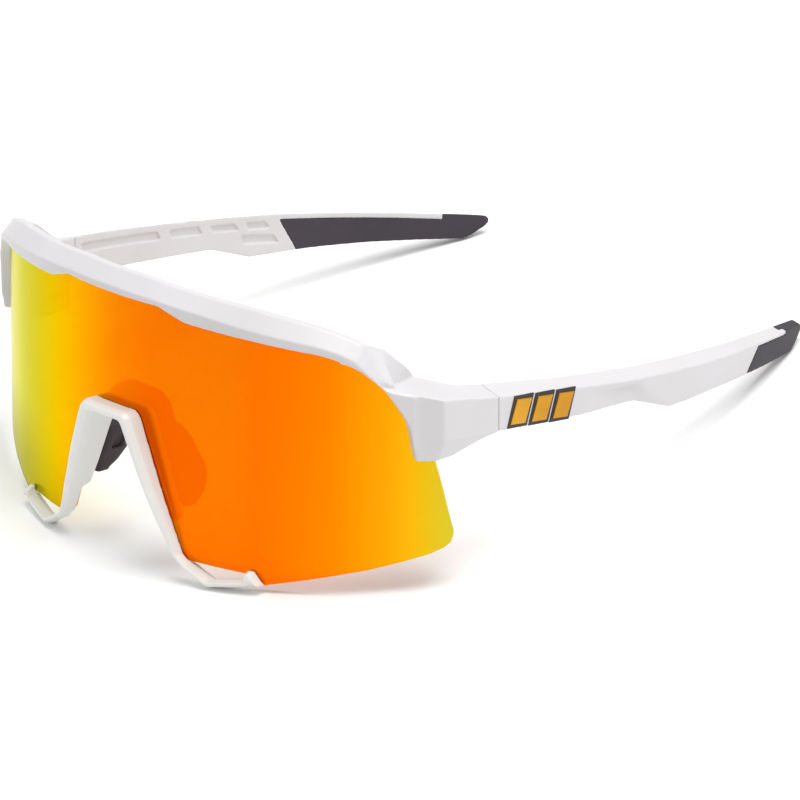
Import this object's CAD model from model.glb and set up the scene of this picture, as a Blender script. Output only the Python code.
import math
import bpy
import bmesh
from mathutils import Euler, Matrix, Vector


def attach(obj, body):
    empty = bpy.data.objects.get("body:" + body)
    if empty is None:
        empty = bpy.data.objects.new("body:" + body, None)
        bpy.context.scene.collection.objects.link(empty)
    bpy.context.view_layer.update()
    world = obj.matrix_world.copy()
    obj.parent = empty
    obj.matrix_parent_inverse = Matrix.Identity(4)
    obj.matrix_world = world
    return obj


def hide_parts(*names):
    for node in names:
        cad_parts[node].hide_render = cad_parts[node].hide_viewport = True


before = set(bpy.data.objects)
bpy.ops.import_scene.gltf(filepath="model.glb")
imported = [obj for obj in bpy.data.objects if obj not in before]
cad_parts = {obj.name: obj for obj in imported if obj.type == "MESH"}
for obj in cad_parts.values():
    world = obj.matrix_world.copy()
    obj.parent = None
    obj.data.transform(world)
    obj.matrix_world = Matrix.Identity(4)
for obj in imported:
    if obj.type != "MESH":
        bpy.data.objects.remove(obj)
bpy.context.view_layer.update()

# Worn frame, millimetres: X to the wearer's left, Y back, Z up, lens axis on the Z axis.
PITCH = Matrix.Rotation(math.radians(-10.75), 4, "X")
SHIFT = Vector((0.0, 28.1398, 28.2))
LENS_R = 96.0
LENS_BACK_R = 94.0
CORNER_Y = -69.0
HALF = 70.0
SEAM_Y = -53.88
VOXEL = 0.2

# Hinge on the wearer's left: a tongue on the temple turns in a slot of the front.
PIN = (65.9, -58.0)
SLOT_R, SLOT_LOW, SLOT_HIGH = 2.9, -7.85, -5.15
TONGUE_R, TONGUE_LOW, TONGUE_HIGH = 2.6, -7.7, -5.3
SCREW_R, SCREW_TOP = 0.8, -3.7
HEAD_R, HEAD_LOW, HEAD_SEAT = 1.5, -10.9, -10.0
SOCKET_R, SOCKET_TOP = 0.7, -10.36
INSERT_R, INSERT_LOW, INSERT_HIGH = 1.4, -5.15, -3.35


def to_row(point):
    """Worn millimetres to metres in the row frame."""
    return (PITCH @ Vector(point) + SHIFT) * 0.001


# ---------------------------------------------------------------- shape helpers
def table(pairs, at):
    """Value read off a table with straight lines between its points."""
    if at <= pairs[0][0]:
        return pairs[0][1]
    for (x_low, low), (x_high, high) in zip(pairs[:-1], pairs[1:]):
        if at <= x_high:
            return low + (high - low) * (at - x_low) / (x_high - x_low)
    return pairs[-1][1]


def soft(pairs, at, reach):
    """Table value averaged over a short reach, which rounds its kinks."""
    steps = 8
    total = 0.0
    for index in range(steps + 1):
        total += table(pairs, at - reach + 2 * reach * index / steps)
    return total / (steps + 1)


def spread(low, high, step):
    """Even steps from low to high, none longer than step."""
    count = max(1, int(math.ceil((high - low) / step)))
    return [low + (high - low) * index / count for index in range(count + 1)]


def on_arc(radius, x_at, z):
    """Point on a circle about the lens axis, with x read at the lens face."""
    turn = math.asin(max(-1.0, min(1.0, x_at / LENS_R)))
    return (radius * math.sin(turn), -radius * math.cos(turn), z)


def on_front(radius, x, z):
    """Point on a circle about the lens axis, with x as it is."""
    return (x, -math.sqrt(radius * radius - x * x), z)


def tube(rings):
    """Closed solid from equal rings of points, capped at both ends."""
    mesh = bmesh.new()
    rows = [[mesh.verts.new(p) for p in ring] for ring in rings]
    count = len(rings[0])
    for first, second in zip(rows[:-1], rows[1:]):
        for index in range(count):
            after = (index + 1) % count
            mesh.faces.new((first[index], first[after], second[after], second[index]))
    mesh.faces.new(list(reversed(rows[0])))
    mesh.faces.new(rows[-1])
    bmesh.ops.recalc_face_normals(mesh, faces=mesh.faces)
    return mesh


def plate(stations, r_in, r_out, placer, rows=1):
    """Curved plate between two radii from (x, low, high) stations."""
    rings = []
    for x, low, high in stations:
        outer = [placer(r_out, x, low + (high - low) * k / rows) for k in range(rows + 1)]
        inner = [placer(r_in, x, high - (high - low) * k / rows) for k in range(rows + 1)]
        rings.append(outer + inner)
    return tube(rings)


def mirrored(mesh):
    """Copy on the other side of the middle plane."""
    twin = mesh.copy()
    for vert in twin.verts:
        vert.co.x = -vert.co.x
    bmesh.ops.reverse_faces(twin, faces=twin.faces)
    return twin


def as_object(name, mesh):
    data = bpy.data.meshes.new(name)
    mesh.to_mesh(data)
    mesh.free()
    thing = bpy.data.objects.new(name, data)
    bpy.context.scene.collection.objects.link(thing)
    return thing


def baked(thing):
    """Applies all modifiers of an object to its mesh."""
    bpy.context.view_layer.update()
    graph = bpy.context.evaluated_depsgraph_get()
    data = bpy.data.meshes.new_from_object(thing.evaluated_get(graph))
    old = thing.data
    thing.modifiers.clear()
    thing.data = data
    bpy.data.meshes.remove(old)
    return thing


def bevelled(thing, width, angle):
    """Narrow rounded bevel on the edges that are sharper than the angle in degrees."""
    edge = thing.modifiers.new("edge", "BEVEL")
    edge.width = width
    edge.segments = 2
    edge.limit_method = "ANGLE"
    edge.angle_limit = math.radians(angle)
    return baked(thing)


def carve(thing, mesh, kind="DIFFERENCE"):
    """One exact boolean with a bmesh tool, applied at once."""
    tool = as_object("tool", mesh)
    step = thing.modifiers.new("carve", "BOOLEAN")
    step.operation = kind
    step.solver = "EXACT"
    step.object = tool
    baked(thing)
    data = tool.data
    bpy.data.objects.remove(tool)
    bpy.data.meshes.remove(data)
    return thing


def moulded(thing, rounds):
    """Even skin with softly rounded edges, as moulded plastic has."""
    skin = thing.modifiers.new("skin", "REMESH")
    skin.mode = "VOXEL"
    skin.voxel_size = VOXEL
    relax = thing.modifiers.new("relax", "SMOOTH")
    relax.factor = 0.5
    relax.iterations = rounds
    return baked(thing)


def placed(thing, body, material, nodes=(), smooth=True):
    """Moves a finished piece into the row frame and hands it to its body."""
    for vert in thing.data.vertices:
        vert.co = to_row(vert.co)
    thing.data.materials.clear()
    thing.data.materials.append(material)
    for face in thing.data.polygons:
        face.use_smooth = smooth
    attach(thing, body)
    if nodes:
        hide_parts(*nodes)
    return thing


def on_floor(thing):
    """Flattens whatever smoothing has left just below the floor."""
    for vert in thing.data.vertices:
        vert.co.z = max(vert.co.z, 0.0)


# ---------------------------------------------------------------- materials
def srgb(red, green, blue):
    """Colour from the usual 0 to 255 scale."""
    def linear(value):
        share = value / 255.0
        if share <= 0.04045:
            return share / 12.92
        return ((share + 0.055) / 1.055) ** 2.4
    return (linear(red), linear(green), linear(blue), 1.0)


def new_material(name):
    material = bpy.data.materials.new(name)
    material.use_nodes = True
    shader = material.node_tree.nodes["Principled BSDF"]
    return material, material.node_tree, shader


def add(tree, kind, **sockets):
    """New node with the values of its inputs."""
    node = tree.nodes.new(kind)
    for key, value in sockets.items():
        node.inputs[key.replace("_", " ")].default_value = value
    return node


def join(tree, source, target):
    tree.links.new(source, target)


def ramp_node(tree, stops):
    node = tree.nodes.new("ShaderNodeValToRGB")
    ramp = node.color_ramp
    while len(ramp.elements) < len(stops):
        ramp.elements.new(0.5)
    for element, (place, colour) in zip(ramp.elements, stops):
        element.position = place
        element.color = colour
    return node


def plastic(name, light, shade, roughness, grain, depth):
    """Moulded plastic: faint tone drift, fine grain in colour, gloss and height."""
    material, tree, shader = new_material(name)
    spot = add(tree, "ShaderNodeTexCoord")
    drift = add(tree, "ShaderNodeTexNoise", Scale=55.0, Detail=3.0)
    join(tree, spot.outputs["Object"], drift.inputs["Vector"])
    tone = ramp_node(tree, [(0.3, srgb(*shade)), (0.7, srgb(*light))])
    join(tree, drift.outputs["Fac"], tone.inputs["Fac"])
    join(tree, tone.outputs["Color"], shader.inputs["Base Color"])
    fine = add(tree, "ShaderNodeTexNoise", Scale=grain, Detail=4.0, Roughness=0.6)
    join(tree, spot.outputs["Object"], fine.inputs["Vector"])
    gloss = add(tree, "ShaderNodeMapRange", To_Min=roughness - 0.07, To_Max=roughness + 0.07)
    join(tree, fine.outputs["Fac"], gloss.inputs["Value"])
    join(tree, gloss.outputs["Result"], shader.inputs["Roughness"])
    bump = add(tree, "ShaderNodeBump", Strength=0.25, Distance=depth)
    join(tree, fine.outputs["Fac"], bump.inputs["Height"])
    join(tree, bump.outputs["Normal"], shader.inputs["Normal"])
    return material


def shader_of(material):
    return material.node_tree.nodes["Principled BSDF"]


def metallic(material, share):
    shader_of(material).inputs["Metallic"].default_value = share
    return material


def dimpled(material):
    """Adds a diamond lattice of shallow dimples, as pressed into the grips."""
    tree = material.node_tree
    normal = shader_of(material).inputs["Normal"]
    place = [node for node in tree.nodes if node.type == "TEX_COORD"][0]
    turned = add(tree, "ShaderNodeMapping", Rotation=(math.radians(45), 0.0, 0.0))
    lattice = add(tree, "ShaderNodeTexChecker", Scale=850.0)
    dimples = add(tree, "ShaderNodeBump", Strength=0.35, Distance=0.00012)
    join(tree, place.outputs["Object"], turned.inputs["Vector"])
    join(tree, turned.outputs["Vector"], lattice.inputs["Vector"])
    join(tree, lattice.outputs["Fac"], dimples.inputs["Height"])
    join(tree, normal.links[0].from_socket, dimples.inputs["Normal"])
    join(tree, dimples.outputs["Normal"], normal)
    return material


# Each plastic: name, light and dark tone, roughness, grain per metre, grain height.
white = plastic(
    "white_frame_plastic", (202, 200, 202), (198, 196, 197), 0.38, 4200.0, 0.000006)
guard_white = plastic(
    "cream_guard_plastic", (224, 225, 222), (219, 220, 217), 0.42, 3600.0, 0.000008)
rubber = dimpled(plastic(
    "grip_rubber", (51, 44, 54), (43, 37, 46), 0.62, 5200.0, 0.00004))
soft_rubber = plastic(
    "pad_rubber", (49, 39, 45), (41, 33, 38), 0.7, 6000.0, 0.00004)
gold = metallic(plastic(
    "badge_gold", (210, 154, 44), (186, 128, 26), 0.34, 5200.0, 0.00001), 0.75)
ink = plastic(
    "badge_black", (44, 38, 30), (26, 22, 20), 0.5, 5200.0, 0.00002)
steel = metallic(plastic(
    "screw_steel", (190, 190, 194), (150, 150, 156), 0.3, 2600.0, 0.00001), 1.0)
brass = metallic(plastic(
    "insert_brass", (212, 170, 96), (176, 134, 66), 0.34, 2600.0, 0.00001), 1.0)

# Tint of the mirror coating across the lens, at round places in millimetres.
LENS_TINTS = [
    (-50, (205, 210, 90)), (-40, (205, 205, 75)), (-30, (230, 205, 45)),
    (-20, (250, 185, 5)), (-10, (255, 155, 5)), (0, (255, 120, 5)),
    (10, (255, 105, 0)), (35, (255, 105, 0)), (50, (255, 125, 0)),
    (60, (250, 155, 5)), (65, (220, 175, 15)), (70, (195, 185, 45)),
]
SEE_THROUGH = 0.27
SEE_THROUGH_EDGE = 0.04


def mirror_coating():
    """Mirror whose tint drifts across the lens and that lets a little light through."""
    material, tree, shader = new_material("mirror_lens_coating")
    place = add(tree, "ShaderNodeTexCoord")
    parts = add(tree, "ShaderNodeSeparateXYZ")
    join(tree, place.outputs["Object"], parts.inputs["Vector"])
    across = add(tree, "ShaderNodeMapRange", From_Min=-0.001 * HALF, From_Max=0.001 * HALF)
    join(tree, parts.outputs["X"], across.inputs["Value"])
    tint = ramp_node(
        tree, [((x + HALF) / (2 * HALF), srgb(*colour)) for x, colour in LENS_TINTS])
    join(tree, across.outputs["Result"], tint.inputs["Fac"])
    join(tree, tint.outputs["Color"], shader.inputs["Base Color"])
    shader.inputs["Metallic"].default_value = 1.0
    shader.inputs["Roughness"].default_value = 0.2
    shader.inputs["Specular Tint"].default_value = (0.9, 0.84, 0.42, 1.0)
    clear = add(tree, "ShaderNodeBsdfTransparent", Color=(0.7, 0.85, 0.1, 1.0))
    outward = add(tree, "ShaderNodeMath")
    outward.operation = "ABSOLUTE"
    join(tree, parts.outputs["X"], outward.inputs[0])
    share = add(tree, "ShaderNodeMapRange", From_Min=0.030, From_Max=0.046,
                To_Min=SEE_THROUGH, To_Max=SEE_THROUGH_EDGE)
    join(tree, outward.outputs["Value"], share.inputs["Value"])
    blend = add(tree, "ShaderNodeMixShader")
    join(tree, share.outputs["Result"], blend.inputs["Fac"])
    join(tree, shader.outputs["BSDF"], blend.inputs[1])
    join(tree, clear.outputs["BSDF"], blend.inputs[2])
    coat = [node for node in tree.nodes if node.type == "OUTPUT_MATERIAL"][0]
    join(tree, blend.outputs["Shader"], coat.inputs["Surface"])
    return material


mirror = mirror_coating()

# ---------------------------------------------------------------- outlines
# Each table holds x and z in worn millimetres for the wearer's left half.
LENS_LOW = [
    (0.0, -13.3), (4.9, -13.3), (6.1, -15.0), (12.7, -29.5), (17.6, -40.1), (19.2, -41.6),
    (33.8, -41.8), (37.4, -43.6), (44.0, -41.7), (50.3, -39.8), (56.2, -37.9),
    (61.7, -35.7), (66.2, -33.6), (68.2, -32.2), (69.2, -31.0), (69.6, -29.3)]
LENS_HIGH = [
    (0.0, 13.2), (20.0, 11.6), (35.0, 10.3), (48.6, 9.2), (54.6, 6.9), (59.2, 2.6),
    (60.2, 1.3), (62.6, -2.2), (65.2, -7.0), (66.7, -13.0), (67.9, -19.0),
    (68.9, -25.0), (69.6, -29.3)]
# Brow: lower lip, crease below its top facet, and top edge.
LIP_LOW = [
    (0, 11.8), (14, 11.8), (20.6, 9.7), (34.6, 8.7), (48.3, 7.5), (51.9, 6.7),
    (55.3, 3.0), (58.6, -3.0), (61.7, -9.0), (64.5, -11.5), (67.0, -11.5)]
CREASE = [
    (0, 13.4), (13, 13.1), (25, 12.2), (35, 10.9), (48, 9.3), (52, 8.3),
    (55, 6.8), (57.6, 3.6), (58.6, 2.2), (60, 1.2), (62, 0.7), (64.5, 0.1), (67.0, -1.8)]
BROW_TOP = [
    (0, 16.3), (10, 16.3), (23, 15.3), (35, 14.4), (45, 13.0), (50, 11.9), (54, 10.6),
    (56, 9.5), (57.6, 7.9), (58.6, 5.6), (59.8, 1.7), (62, 1.1), (64.5, 0.5), (67.0, -1.0)]
# How far the top edge and the lip lie behind the brow's front, in place of z.
TOP_INSET = [(0, 3.0), (45, 3.0), (58.6, 2.4), (64.5, 2.0), (67.0, 2.0)]
LIP_SINK = [(0, 0.0), (64.5, 0.0), (67.0, 1.2)]
# Edge of the lens window in the hinge end.
CHEEK = [
    (50.0, 6.4), (52.0, 6.4), (54.6, 6.0), (56.6, 5.0), (58.8, 3.1), (60.9, 0.9),
    (63.1, -3.0), (64.3, -5.6), (65.1, -8.7), (65.1, -13.8)]

LIP_R = 98.0
BACK_R = 92.0
CHEEK_FACE_R = 97.7
CHEEK_LEAN = 1.0
PLAY = 0.1
GROOVE_PLAY = 0.12


def sides(pairs):
    """Stations of both halves from a table with x >= 0."""
    return sorted(set([-x for x in pairs] + list(pairs)))


# ---------------------------------------------------------------- lens
def lens_outline():
    """Stations (x, low, high) of the lens, close together where its edge is steep."""
    corners = [4.9, 6.1, 12.7, 17.6, 19.2, 33.8, 37.4]
    stations = []
    for x in sides(spread(0.0, 62.0, 0.8) + spread(62.4, 69.58, 0.16) + corners):
        low = table(LENS_LOW, abs(x))
        high = soft(LENS_HIGH, abs(x), 0.3)
        stations.append((x, low, max(high, low + 0.05)))
    return stations


LENS_STATIONS = lens_outline()


def make_lens():
    mesh = plate(LENS_STATIONS, LENS_BACK_R, LENS_R, on_arc, rows=24)
    lens = bevelled(as_object("lens_shield", mesh), 0.25, 50)
    placed(lens, "front", mirror, ["lens"])


# ---------------------------------------------------------------- brow frame
def brow_ring(x_at):
    """Section of the brow where it crosses the lens at x_at."""
    side = abs(x_at)
    low = table(LIP_LOW, side)
    crease = soft(CREASE, side, 0.5)
    top = max(soft(BROW_TOP, side, 0.5 if side > 54 else 1.5), crease + 0.2)
    front = LIP_R - table(LIP_SINK, side)
    top_r = LIP_R - table(TOP_INSET, side)
    corners = [
        (front - 0.4, low), (front, low + 0.4), (front, crease), (top_r, top),
        (top_r - 1.4, top + 0.1), (BACK_R, top - 1.8), (BACK_R, low + 0.4)]
    return [on_arc(radius, x_at, z) for radius, z in corners]


def cheek_point(radius, x, z):
    """Point of the window cut in the hinge end, which narrows toward the lens."""
    lean = CHEEK_LEAN * (radius - CHEEK_FACE_R)
    return on_front(radius, x + math.copysign(1.0, x) * lean, z)


def end_block():
    """Hinge end of the front on the wearer's left, as a row of sections from front to seam."""
    start = -76.2
    plan_out = [(start, 60.6), (-73.8, 63.8), (-71.4, 66.9), (CORNER_Y, HALF), (-54.0, 69.62)]
    plan_in = [(start, 60.5), (-74.2, 54.6), (-63.0, 54.4), (-59.5, 62.9), (SEAM_Y, 63.9)]
    top = [(-78.0, 1.7), (CORNER_Y, -0.1), (SEAM_Y, -2.9)]
    bottom = [(-71.0, -13.55), (-65.0, -13.2), (-57.5, -10.9), (SEAM_Y, -10.35)]
    # Rise of the inner top edge, height of the lower crease, and lean of the face below it.
    rise = [(start, 0.0), (-70.0, 0.1), (-66.0, 0.6), (-60.0, 1.1), (SEAM_Y, 1.4)]
    facet = [(-76.0, -12.0), (-72.3, -11.1), (-70.8, -9.7), (CORNER_Y, -8.7), (-61.0, -10.0),
             (SEAM_Y, -10.3)]
    tilt = [(start, 0.1), (-72.0, 0.15), (CORNER_Y, 0.4), (-65.0, 0.45), (-60.0, 0.6)]
    rings = []
    for y in spread(start, -68.0, 0.3) + spread(-67.4, SEAM_Y, 0.8):
        out = table(plan_out, y)
        inner = table(plan_in, y)
        high = table(top, y)
        low = table(bottom, y)
        fold = max(soft(facet, y, 0.5), low + 0.05)
        lean = (fold - low) * table(tilt, y)
        tuck = max(out - lean, inner + 0.05)
        rings.append([(out, y, high), (out, y, fold), (tuck, y, low), (inner, y, low),
                      (inner, y, high + table(rise, y))])
    return tube(rings)


def crest():
    """Ridge that carries the top of the brow back and down onto the hinge end."""
    rings = []
    base = -9.0
    # Each stop: y, x of the inner face, of the top edge and of the foot, z of top and foot.
    stops = [(-77.6, 52.2, 55.6, 59.4, 9.9, 3.0), (-76.6, 52.3, 55.9, 60.2, 9.6, 2.8),
             (-75.8, 52.6, 55.9, 60.9, 9.3, 2.6), (-74.4, 53.0, 55.9, 61.2, 8.7, 1.9),
             (-72.4, 53.4, 55.8, 58.2, 7.8, 0.5), (-66.2, 54.0, 55.2, 55.9, 2.8, -0.7),
             (-63.3, 54.2, 54.5, 54.8, 0.0, -1.4)]
    for first, second in zip(stops[:-1], stops[1:]):
        for index in range(8):
            y, inner, top_x, foot_x, high, low = [
                a + (b - a) * index / 8 for a, b in zip(first, second)]
            rings.append([(inner, y, base), (foot_x, y, base), (foot_x, y, low),
                          (top_x, y, high), (inner, y, high)])
    return tube(rings)


def box_mesh(low, high):
    """Box between two opposite corners, whichever way x runs."""
    x_low, x_high = sorted((low[0], high[0]))
    ring = [(x_low, low[1]), (x_high, low[1]), (x_high, high[1]), (x_low, high[1])]
    return tube([[(x, y, low[2]) for x, y in ring], [(x, y, high[2]) for x, y in ring]])


def drum(centre, radius, low, high, steps=40, bevel=0.0):
    """Upright cylinder between two heights, with an optional bevel at both ends."""
    rings = []
    levels = [(low, radius), (high, radius)]
    if bevel:
        levels = [(low, radius - bevel), (low + bevel, radius), (high - bevel, radius),
                  (high, radius - bevel)]
    for level, reach in levels:
        ring = []
        for index in range(steps):
            turn = 2 * math.pi * index / steps
            ring.append((centre[0] + reach * math.cos(turn),
                         centre[1] + reach * math.sin(turn), level))
        rings.append(ring)
    return tube(rings)


def pin_at(side):
    return (side * PIN[0], PIN[1])


def hinge_cuts(side):
    """Slot for the tongue, screw bore, head seat and insert seat of one hinge."""
    pin = pin_at(side)
    inner = pin[0] - side * 10
    below = -12.0
    return [
        drum(pin, SLOT_R, SLOT_LOW, SLOT_HIGH),
        box_mesh((inner, pin[1], SLOT_LOW), (pin[0] + side * SLOT_R, pin[1] + 12, SLOT_HIGH)),
        box_mesh((inner, pin[1] - SLOT_R, SLOT_LOW), (pin[0], pin[1] + 1, SLOT_HIGH)),
        drum(pin, SCREW_R + 0.02, below, INSERT_HIGH),
        drum(pin, HEAD_R + 0.05, below, HEAD_SEAT),
        drum(pin, INSERT_R + 0.02, INSERT_LOW - 0.05, INSERT_HIGH)]


def lens_window(side):
    """Cut that clears the outer face of the lens below the brow."""
    stations = [(side * x, -20.0, soft(CHEEK, x, 0.5)) for x in spread(50.0, 65.9, 0.4)]
    return plate(stations, 95.0, 106.0, cheek_point)


def make_brow():
    end = 67.0
    brow = as_object("brow_frame_shell", tube([brow_ring(x) for x in spread(-end, end, 1.0)]))
    for maker in (end_block, crest):
        part = maker()
        twin = mirrored(part)
        carve(brow, part, "UNION")
        carve(brow, twin, "UNION")
    for side in (1, -1):
        carve(brow, lens_window(side))
    groove = [(x, -24.0, high + PLAY) for x, low, high in LENS_STATIONS if abs(x) < 68.9]
    carve(brow, plate(groove, LENS_BACK_R - GROOVE_PLAY, LENS_R + GROOVE_PLAY, on_arc))
    for side in (1, -1):
        for cut in hinge_cuts(side):
            carve(brow, cut)
    moulded(brow, 9)
    placed(brow, "front", white, ["brow_frame"])


# ---------------------------------------------------------------- nose guard
# Outer and inner edge (x, z) of the guard along the notch, and its front and back radius.
GUARD_PAIRS = [
    ((0.0, -12.4), (0.0, -14.8)), ((6.2, -12.4), (4.0, -14.8)), ((7.4, -13.2), (4.5, -15.1)),
    ((8.2, -14.9), (5.0, -15.9)), ((13.9, -29.2), (10.9, -29.2)), ((18.8, -40.4), (16.8, -40.8)),
    ((20.8, -42.2), (19.2, -42.8)), ((25.9, -44.6), (25.4, -46.3)),
    ((34.1, -42.9), (33.6, -44.7)), ((34.2, -40.9), (35.0, -44.45)),
    ((35.4, -40.9), (36.0, -44.2)), ((37.3, -43.5), (37.4, -43.8))]
GUARD_FORE = [(-44.0, 98.1), (-38.0, 98.3), (-34.0, 98.9), (-25.0, 99.8), (-16.0, 100.2)]
GUARD_AFT = [(-44.0, 94.9), (-34.8, 94.8), (-34.4, 92.8), (-28.0, 92.5), (-16.0, 92.0)]


def guard_ring(share, first, second, side):
    """Section of the guard between two pairs, with a rounded front."""
    (out_a, in_a), (out_b, in_b) = first, second
    out = [out_a[k] + (out_b[k] - out_a[k]) * share for k in range(2)]
    inner = [in_a[k] + (in_b[k] - in_a[k]) * share for k in range(2)]
    ring = []
    for across, sink in ((0.0, 1.5), (0.2, 0.2), (0.5, 0.0), (0.8, 0.7), (1.0, 2.2)):
        x, z = [out[k] + (inner[k] - out[k]) * across for k in range(2)]
        ring.append(on_front(table(GUARD_FORE, z) - sink, side * x, z))
    for x, z in (inner, out):
        ring.append(on_front(table(GUARD_AFT, z), side * x, z))
    return ring


def make_guard():
    half = []
    for first, second in zip(GUARD_PAIRS[:-1], GUARD_PAIRS[1:]):
        reach = math.hypot(second[0][0] - first[0][0], second[0][1] - first[0][1])
        pieces = max(1, int(reach))
        for index in range(pieces):
            half.append((index / pieces, first, second))
    half.append((1.0, GUARD_PAIRS[-2], GUARD_PAIRS[-1]))
    rings = [guard_ring(*step, -1) for step in reversed(half[1:])]
    rings += [guard_ring(*step, 1) for step in half]
    guard = as_object("nose_guard_shell", tube(rings))
    seat = [(x, low - PLAY, 2.0) for x, low, high in LENS_STATIONS if abs(x) < 46]
    carve(guard, plate(seat, LENS_BACK_R - PLAY, LENS_R + PLAY, on_arc))
    moulded(guard, 6)
    placed(guard, "front", guard_white, ["nose_guard"])
    on_floor(guard)


# ---------------------------------------------------------------- nose saddle
SADDLE = [((0.0, -10.4), (0.0, -14.0)), ((4.9, -10.4), (4.0, -14.3)),
          ((7.6, -12.6), (4.9, -15.0)), ((9.4, -16.7), (6.4, -17.9)), ((11.3, -20.8), (8.0, -20.8))]


def saddle_ring(pair, side):
    """Section of the rubber bridge between the pads, behind the guard."""
    front_r = GUARD_AFT[-1][1] - PLAY
    back_y = -87.6
    (x_out, z_out), (x_in, z_in) = pair
    return [on_front(front_r, side * x_out, z_out), on_front(front_r, side * x_in, z_in),
            (side * x_in, back_y, z_in), (side * x_out, back_y, z_out)]


def make_saddle():
    rings = [saddle_ring(pair, -1) for pair in reversed(SADDLE[1:])]
    rings += [saddle_ring(pair, 1) for pair in SADDLE]
    saddle = moulded(as_object("nose_saddle_bridge", tube(rings)), 6)
    placed(saddle, "front", soft_rubber, ["nose_saddle"])


# ---------------------------------------------------------------- nose pads
# Each row holds z, then the low and high side in x or y.
PAD_X = [(-32.4, 13.2, 15.0), (-31.4, 12.6, 15.2), (-30.4, 12.4, 15.0), (-27.2, 10.9, 14.1),
         (-24.4, 9.6, 13.0), (-21.6, 8.4, 11.7), (-19.0, 7.2, 10.5), (-17.0, 6.2, 9.5)]
PAD_Y = [(-31.7, -90.2, -87.0), (-30.8, -91.2, -84.9), (-28.0, -91.4, -83.2),
         (-26.0, -90.8, -82.6), (-19.4, -90.8, -84.4), (-17.0, -90.8, -86.0)]


def column(rows, number):
    """Pairs of z and one of the other values."""
    return [(row[0], row[number]) for row in rows]


def pad_ring(z):
    """Section of the left pad: a circle squared up toward a rounded block."""
    x_low = soft(column(PAD_X, 1), z, 0.8)
    x_high = soft(column(PAD_X, 2), z, 0.8)
    y_low = soft(column(PAD_Y, 1), z, 0.6)
    y_high = soft(column(PAD_Y, 2), z, 0.6)
    ring = []
    for index in range(32):
        turn = 2 * math.pi * index / 32
        along = [math.copysign(abs(v) ** 0.62, v) for v in (math.cos(turn), math.sin(turn))]
        ring.append(((x_low + x_high) / 2 + along[0] * (x_high - x_low) / 2,
                     (y_low + y_high) / 2 + along[1] * (y_high - y_low) / 2, z))
    return ring


def pad_slot():
    """Shallow slot on the side that meets the nose."""
    rings = []
    for z in spread(-27.0, -23.6, 0.4):
        inner = soft(column(PAD_X, 1), z, 0.8)
        rings.append([(inner - 1.0, -88.4, z), (inner + 0.7, -88.4, z),
                      (inner + 0.7, -85.6, z), (inner - 1.0, -85.6, z)])
    return tube(rings)


def make_pads():
    rings = [pad_ring(z) for z in spread(PAD_X[0][0], PAD_X[-1][0], 0.5)]
    pad = as_object("nose_pad_left_soft", tube(rings))
    carve(pad, pad_slot())
    moulded(pad, 5)
    skin = bmesh.new()
    skin.from_mesh(pad.data)
    twin = as_object("nose_pad_right_soft", mirrored(skin))
    skin.free()
    placed(pad, "front", soft_rubber, ["nose_pad_left"])
    placed(twin, "front", soft_rubber, ["nose_pad_right"])


# ---------------------------------------------------------------- temples
# Tables run by the distance back from the corner: width, crease, rise of the inner top
# edge above the crease, and lower edge.
WIDE = [(15, 5.7), (18.4, 5.0), (24.6, 4.0), (32.6, 3.1), (43, 2.8), (50, 2.8), (58, 2.9),
        (65, 3.1), (80, 3.5), (100, 3.6), (108, 3.3), (112, 3.0), (118.4, 2.5), (119.6, 1.6)]
CREASE_Z = [(12, -2.3), (15, -2.9), (37, -6.2), (51, -8.1), (68, -9.7), (99, -12.8),
            (116, -15.0), (118.4, -15.35), (119.2, -15.8), (119.5, -16.5)]
RISE = [(12, 1.2), (18, 1.6), (25, 1.8), (40, 2.1), (50, 2.3), (58, 2.1), (70, 1.9),
        (84, 1.5), (100, 0.9), (124, 0.3)]
UNDER = [(15, -10.3), (32, -11.8), (54.6, -13.4), (64.4, -16.9), (66, -16.95), (80, -17.2),
         (93, -17.9), (104, -18.8), (113.6, -19.7), (115.8, -18.9), (117.8, -17.6),
         (119.0, -16.9), (119.5, -16.7)]
# Where the step of the outer dip starts and ends, by z.
SWOOP_START = [(-17.0, 57.0), (-13.1, 54.5), (-9.3, 52.8), (-8.0, 52.4)]
SWOOP_END = [(-16.8, 64.2), (-13.0, 58.4), (-9.3, 54.9), (-8.0, 54.2)]
DIP_DEPTH, DIP_START, DIP_FULL, DIP_END = 1.1, 38.0, 52.0, 66.0
TEMPLE_LEAN = 0.025
CURL_START = 50.0
CURL_R = 140.8
POCKET_DEPTH = 0.5
BAR_PROUD = 0.42
BASE_PROUD, BASE_MARGIN = 0.2, 0.75
FACE_ROWS = 12


def temple_out(back):
    """Outer face of the left temple, which leans in and then curls toward the tip."""
    curl = max(back - CURL_START, 0.0)
    return HALF - TEMPLE_LEAN * back - curl * curl / (2 * CURL_R)


def ease(low, high, at):
    """Smooth rise from 0 to 1."""
    share = max(0.0, min(1.0, (at - low) / (high - low)))
    return share * share * (3 - 2 * share)


def hollow(back, z, crease):
    """Shallow dip on the outer face that ends in a slanted step."""
    if back < DIP_START or back > DIP_END:
        return 0.0
    rise = ease(DIP_START, DIP_FULL, back)
    step = table([(table(SWOOP_START, z), 0.0), (table(SWOOP_END, z), 1.0)], back)
    return DIP_DEPTH * rise * (1.0 - step) * ease(0.3, 1.6, crease - z)


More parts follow.
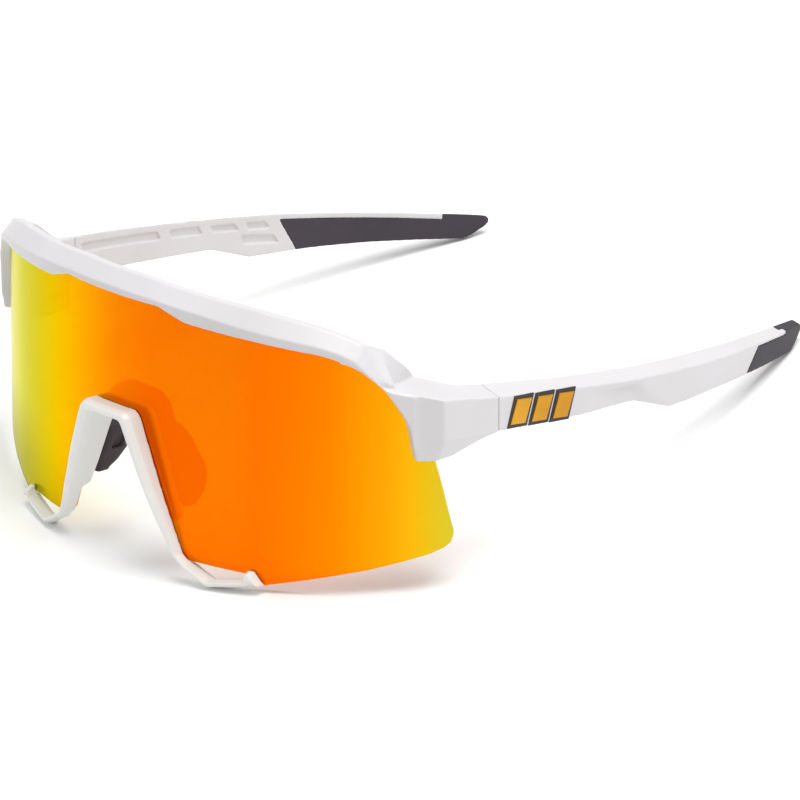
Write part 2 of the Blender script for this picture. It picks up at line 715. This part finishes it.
def arm_ring(back):
    """Section of the temple at one distance back from the corner."""
    out = temple_out(back)
    wide = soft(WIDE, back, 0.3 if back > 110 else 1.0)
    crease = soft(CREASE_Z, back, 0.4)
    rise = table(RISE, back) * wide / max(table(WIDE, back), 0.1)
    low = soft(UNDER, back, 0.5)
    y = CORNER_Y + back
    ring = []
    for row in range(FACE_ROWS + 1):
        z = low + (crease - low) * row / FACE_ROWS
        ring.append((out - hollow(back, z, crease), y, z))
    ring.append((out - wide, y, crease + rise))
    ring.append((out - wide, y, low))
    return ring


def arm_form():
    backs = spread(SEAM_Y - CORNER_Y + 0.06, 118.0, 0.7) + spread(118.2, 119.5, 0.2)
    return tube([arm_ring(back) for back in backs])


def side_plate(stations, near, far, extra):
    """Block between two shares of the temple width, from (back, low, high) stations."""
    rings = []
    for back, low, high in stations:
        out = temple_out(back)
        wide = table(WIDE, back)
        y = CORNER_Y + back
        x_near = out - wide * near + extra[0]
        x_far = out - wide * far - extra[1]
        rings.append([(x_near, y, low), (x_near, y, high), (x_far, y, high), (x_far, y, low)])
    return tube(rings)


# Edges of the grip, as seen from the side: inner face, then the part that wraps the tip.
RIM = [(back, table(CREASE_Z, back) + table(RISE, back) - 1.3) for back in (71.9, 84, 99, 109)]
INNER_HIGH = RIM + [(109.8, -11.0), (128.0, -11.0)]
INNER_LOW = [(71.9, RIM[0][1] - 0.05), (75.6, -16.4), (77.6, -24.0), (128.0, -24.0)]
TIP_HIGH = [(90.6, -23.9), (92.6, -17.6), (97.4, -13.3), (104.0, -14.1), (109.6, -14.9),
            (110.8, -14.8), (111.2, -13.6), (111.4, -11.0), (128.0, -11.0)]


def grip_region():
    backs = spread(71.9, 78.0, 0.5) + spread(79.0, 108.6, 1.0) + spread(109.0, 123.0, 0.25)
    return side_plate([(b, table(INNER_LOW, b), table(INNER_HIGH, b)) for b in backs],
                      0.45, 1.0, (0.0, 1.5))


def tip_region():
    backs = spread(90.6, 98.0, 0.4) + spread(98.6, 109.0, 0.8) + spread(109.3, 123.0, 0.2)
    return side_plate([(b, -24.0, table(TIP_HIGH, b)) for b in backs], 0.0, 1.0, (1.5, 1.5))


# Hollows on the inner face, each by the corners of its patch: two along the top edge,
# then two back along the lower edge.
POCKETS = [
    [(17.0, -3.6), (39.6, -6.2), (40.8, -8.2), (18.0, -5.6)],
    [(43.2, -6.6), (51.1, -7.4), (52.2, -9.4), (43.6, -8.4)],
    [(54.1, -8.0), (60.6, -8.6), (61.9, -10.4), (55.2, -9.6)],
    [(63.4, -8.9), (68.2, -9.4), (69.7, -11.2), (64.0, -10.6)],
    [(62.3, -11.6), (70.3, -12.7), (71.7, -14.8), (62.7, -13.6)],
]


def slab(top_line, low_line, face, steps=14):
    """Block over a four-sided patch of the side view; face gives x at depth 0 and at depth 1."""
    rings = []
    for index in range(steps + 1):
        share = index / steps
        high = [top_line[0][k] + (top_line[1][k] - top_line[0][k]) * share for k in range(2)]
        low = [low_line[0][k] + (low_line[1][k] - low_line[0][k]) * share for k in range(2)]
        ring = []
        for (back, z), depth in ((low, 0), (high, 0), (high, 1), (low, 1)):
            ring.append((face(back, depth), CORNER_Y + back, z))
        rings.append(ring)
    return tube(rings)


def pocket_face(back, depth):
    inner = temple_out(back) - table(WIDE, back)
    return inner + POCKET_DEPTH if depth == 0 else inner - 2.0


def pocket(corners):
    """Hollow over one patch of the inner face."""
    return slab(corners[:2], [corners[3], corners[2]], pocket_face)


def badge_face(proud):
    def face(back, depth):
        return temple_out(back) + (proud if depth == 0 else -0.3)
    return face


def bar_outline(number, grow):
    """Top and lower line of one slanted bar of the emblem, grown on all sides."""
    start = 18.0 + 5.9 * number
    drop = -0.72 * number
    corner = grow * 0.8
    top = [(start + 1.9 - corner, drop - 4.5 + grow), (start + 6.0 + grow, drop - 5.0 + grow)]
    low = [(start - grow, drop - 9.5 - grow), (start + 4.1 + corner, drop - 10.0 - grow)]
    return top, low


def merged(meshes):
    """One mesh from several that don't touch."""
    whole = bmesh.new()
    for mesh in meshes:
        data = bpy.data.meshes.new("part")
        mesh.to_mesh(data)
        mesh.free()
        whole.from_mesh(data)
        bpy.data.meshes.remove(data)
    return whole


def side_mesh(mesh, side):
    return mirrored(mesh) if side < 0 else mesh


def make_arm(side, word):
    arm = as_object("temple_arm_%s_shell" % word, side_mesh(arm_form(), side))
    for cut in [grip_region(), tip_region()] + [pocket(corners) for corners in POCKETS]:
        carve(arm, side_mesh(cut, side))
    pin = pin_at(side)
    root = box_mesh((pin[0] - TONGUE_R, pin[1], TONGUE_LOW),
                    (pin[0] + TONGUE_R, pin[1] + 5.5, TONGUE_HIGH))
    carve(arm, drum(pin, TONGUE_R, TONGUE_LOW, TONGUE_HIGH, 64), "UNION")
    carve(arm, root, "UNION")
    carve(arm, drum(pin, SCREW_R + 0.06, TONGUE_LOW - 1.3, TONGUE_HIGH + 2.3))
    moulded(arm, 6)
    placed(arm, "temple_" + word, white, ["temple_arm_" + word])


def make_grip(side, word):
    grip = as_object("temple_grip_%s_soft" % word, side_mesh(arm_form(), side))
    region = as_object("region", side_mesh(grip_region(), side))
    carve(region, side_mesh(tip_region(), side), "UNION")
    tool = bmesh.new()
    tool.from_mesh(region.data)
    data = region.data
    bpy.data.objects.remove(region)
    bpy.data.meshes.remove(data)
    carve(grip, tool, "INTERSECT")
    moulded(grip, 5)
    placed(grip, "temple_" + word, rubber, ["temple_grip_" + word])
    on_floor(grip)


def make_badge(side, word):
    """Three slanted bars, each on a wider black base."""
    def bars(name, grow, proud):
        mesh = merged([slab(*bar_outline(number, grow), badge_face(proud)) for number in range(3)])
        return bevelled(as_object(name, side_mesh(mesh, side)), 0.1, 40)
    top = bars("badge_%s_bars" % word, 0.0, BAR_PROUD)
    base = bars("badge_%s_base" % word, BASE_MARGIN, BASE_PROUD)
    placed(top, "temple_" + word, gold, ["badge_" + word])
    placed(base, "temple_" + word, ink)


def make_hinge_hardware(side, word):
    pin = pin_at(side)
    head = drum(pin, HEAD_R, HEAD_LOW, HEAD_SEAT, 48, 0.12)
    screw = as_object("hinge_screw_%s_turned" % word, head)
    carve(screw, drum(pin, SCREW_R, HEAD_SEAT - 0.2, SCREW_TOP, 32, 0.15), "UNION")
    carve(screw, drum(pin, SOCKET_R, HEAD_LOW - 0.3, SOCKET_TOP, 6))
    placed(screw, "front", steel, ["hinge_screw_" + word], smooth=False)
    ring = drum(pin, INSERT_R, INSERT_LOW, INSERT_HIGH, 48, 0.1)
    insert = as_object("hinge_insert_%s_ring" % word, ring)
    carve(insert, drum(pin, SCREW_R + 0.02, INSERT_LOW - 0.85, INSERT_HIGH + 0.35, 32))
    placed(insert, "front", brass, ["hinge_insert_" + word], smooth=False)


# ---------------------------------------------------------------- assembly
make_lens()
make_brow()
make_guard()
make_saddle()
make_pads()
for side, word in ((1, "left"), (-1, "right")):
    make_arm(side, word)
    make_grip(side, word)
    make_badge(side, word)
    make_hinge_hardware(side, word)

# ---------------------------------------------------------------- floor, light, camera
ground = bmesh.new()
bmesh.ops.create_grid(ground, x_segments=1, y_segments=1, size=4.0)
floor = as_object("floor", ground)
floor.data.materials.append(plastic(
    "pale_floor", (243.4, 243.4, 243.4), (241.6, 241.6, 241.6), 0.8, 900.0, 0.00001))

world = bpy.data.worlds.new("studio")
bpy.context.scene.world = world
world.use_nodes = True
sky = world.node_tree.nodes["Background"]
sky.inputs["Color"].default_value = (1.0, 1.0, 1.0, 1.0)
sky.inputs["Strength"].default_value = 0.6
bpy.context.scene.view_settings.view_transform = "Standard"


def soft_light(name, place, size, power):
    """Rectangular studio light that faces the sunglasses."""
    aim = Vector((0.0, 0.0, 0.02))
    data = bpy.data.lights.new(name, "AREA")
    data.shape = "RECTANGLE"
    data.size = size[0]
    data.size_y = size[1]
    data.energy = power
    lamp = bpy.data.objects.new(name, data)
    lamp.location = place
    lamp.rotation_euler = (aim - Vector(place)).to_track_quat("-Z", "Y").to_euler()
    bpy.context.scene.collection.objects.link(lamp)
    return lamp


soft_light("overhead", (0.3, 0.15, 1.1), (0.9, 0.9), 14.5)
fill = soft_light("fill_left", (-1.3, -0.3, 0.4), (0.8, 0.6), 5.0)
fill.visible_glossy = False  # Lights the plastic without a glare on the mirror.
soft_light("side_right", (1.1, 0.2, 0.45), (0.7, 0.5), 0.5)

eye = bpy.data.cameras.new("eye")
eye.sensor_width = 36.0
eye.lens = 360.72
eye.clip_start = 0.05
eye.clip_end = 20.0
camera = bpy.data.objects.new("eye", eye)
camera.location = (1.19057, -0.93474, 0.74278)
camera.rotation_euler = Euler([math.radians(turn) for turn in (63.702, 8.005, 47.796)])
bpy.context.scene.collection.objects.link(camera)
bpy.context.scene.camera = camera
